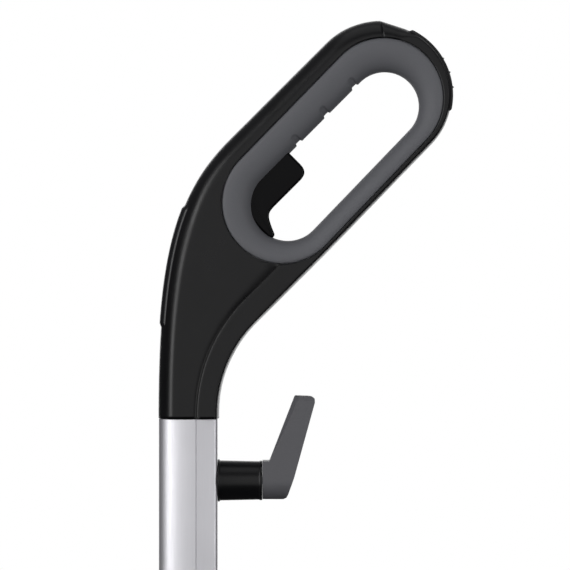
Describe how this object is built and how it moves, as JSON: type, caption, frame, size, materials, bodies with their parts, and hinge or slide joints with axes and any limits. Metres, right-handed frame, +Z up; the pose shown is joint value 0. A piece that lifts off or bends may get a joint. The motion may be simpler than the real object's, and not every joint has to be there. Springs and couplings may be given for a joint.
{
  "type": "carpet sweeper",
  "caption": "Upright electric carpet sweeper with a leaning loop handle, finger trigger, jointed aluminium pole, cord hooks, steering neck and brush head with a rear dust drawer.",
  "frame": {"origin": "on the floor, under the middle of the bounding box", "axes": "+Z up, -Y to the front of the floor head, +X to the right seen from the front of the object looking along +Y"},
  "size_m": [0.28, 0.2702, 1.1503],
  "materials": {
    "black": "fine matte moulded",
    "grey": "soft-touch matte",
    "rubber": "matte",
    "aluminium": "satin anodised",
    "steel": "plain",
    "smoked": "smoked",
    "bristle": "nylon bristle",
    "motor": "plated"
  },
  "bodies": {
    "head": {"chassis": "black", "top_cover": "black", "front_bumper": "grey", "cover_screw_1": "steel", "cover_screw_2": "steel", "cover_screw_3": "steel", "cover_screw_4": "steel", "brush_bearing_left": "black", "brush_bearing_right": "black", "motor_body": "motor", "drive_belt": "rubber", "trunnion_pin": "steel", "wheel_axle_left": "steel", "wheel_axle_right": "steel", "roller_pin_left": "steel", "roller_pin_right": "steel"},
    "brush": {"brush_roll": "bristle", "brush_pulley": "black"},
    "rotor": {"motor_shaft": "steel"},
    "wheel_left": {"wheel_hub_left": "grey", "wheel_tyre_left": "rubber"},
    "wheel_right": {"wheel_hub_right": "grey", "wheel_tyre_right": "rubber"},
    "roller_left": {"front_roller_left": "grey"},
    "roller_right": {"front_roller_right": "grey"},
    "bin": {"dust_bin": "smoked"},
    "trunnion": {"trunnion_block": "black", "swivel_pin": "steel"},
    "pole": {"swivel_neck": "black", "lower_tube": "aluminium", "tube_collar": "black", "upper_tube": "aluminium", "lower_cord_hook": "grey", "cord_gland": "rubber", "hook_post": "black", "hook_screw": "steel", "handle_spigot": "black", "spigot_screw": "steel", "handle_front_shell": "black", "handle_rear_shell": "black", "handle_screw": "steel", "grip_ring": "grey", "indicator_panel": "smoked", "wall_rest_pad": "rubber", "trigger_pin": "steel", "trigger_spring": "steel", "switch_carrier": "black", "micro_switch": "black"},
    "trigger": {"trigger": "black"},
    "cord_hook": {"upper_cord_hook": "grey"},
    "release_button": {"release_button": "grey", "button_spring": "steel"}
  },
  "joints": [
    {"name": "pole_recline", "type": "hinge", "parent": "head", "child": "trunnion", "pos_m": [0, -0.024, 0.056], "axis": [-1, 0, 0], "range_deg": [0, 65]},
    {"name": "pole_swivel", "type": "hinge", "parent": "trunnion", "child": "pole", "pos_m": [0, -0.024, 0.098], "axis": [0, 1, 0], "range_deg": [-25, 25]},
    {"name": "brush_spin", "type": "hinge", "parent": "head", "child": "brush", "pos_m": [0, -0.086, 0.031], "axis": [1, 0, 0], "continuous": true},
    {"name": "rotor_spin", "type": "hinge", "parent": "head", "child": "rotor", "pos_m": [0, -0.018, 0.031], "axis": [1, 0, 0], "continuous": true},
    {"name": "wheel_left_spin", "type": "hinge", "parent": "head", "child": "wheel_left", "pos_m": [-0.112, 0.044, 0.019], "axis": [1, 0, 0], "continuous": true},
    {"name": "wheel_right_spin", "type": "hinge", "parent": "head", "child": "wheel_right", "pos_m": [0.112, 0.044, 0.019], "axis": [1, 0, 0], "continuous": true},
    {"name": "roller_left_spin", "type": "hinge", "parent": "head", "child": "roller_left", "pos_m": [-0.1245, -0.104, 0.007], "axis": [1, 0, 0], "continuous": true},
    {"name": "roller_right_spin", "type": "hinge", "parent": "head", "child": "roller_right", "pos_m": [0.1245, -0.104, 0.007], "axis": [1, 0, 0], "continuous": true},
    {"name": "bin_slide", "type": "slide", "parent": "head", "child": "bin", "axis": [0, 1, 0], "range_m": [0, 0.09]},
    {"name": "trigger_pull", "type": "hinge", "parent": "pole", "child": "trigger", "pos_m": [0, 0.00478, 1.03511], "axis": [1, 0, 0], "range_deg": [0, 8], "stiffness_Nm_per_rad": 1.2, "springref_deg": -8.59, "deforming": ["trigger_spring"]},
    {"name": "cord_hook_turn", "type": "hinge", "parent": "pole", "child": "cord_hook", "pos_m": [0, 0.0206, 0.8746], "axis": [0, 1, 0], "range_deg": [0, 180]},
    {"name": "release_press", "type": "slide", "parent": "pole", "child": "release_button", "axis": [0, 1, 0], "range_m": [0, 0.003], "stiffness_N_per_m": 600, "springref_m": -0.003}
  ],
  "couplings": [
    {"joint": "rotor_spin", "follows": "brush_spin", "ratio": 2.3333}
  ]
}
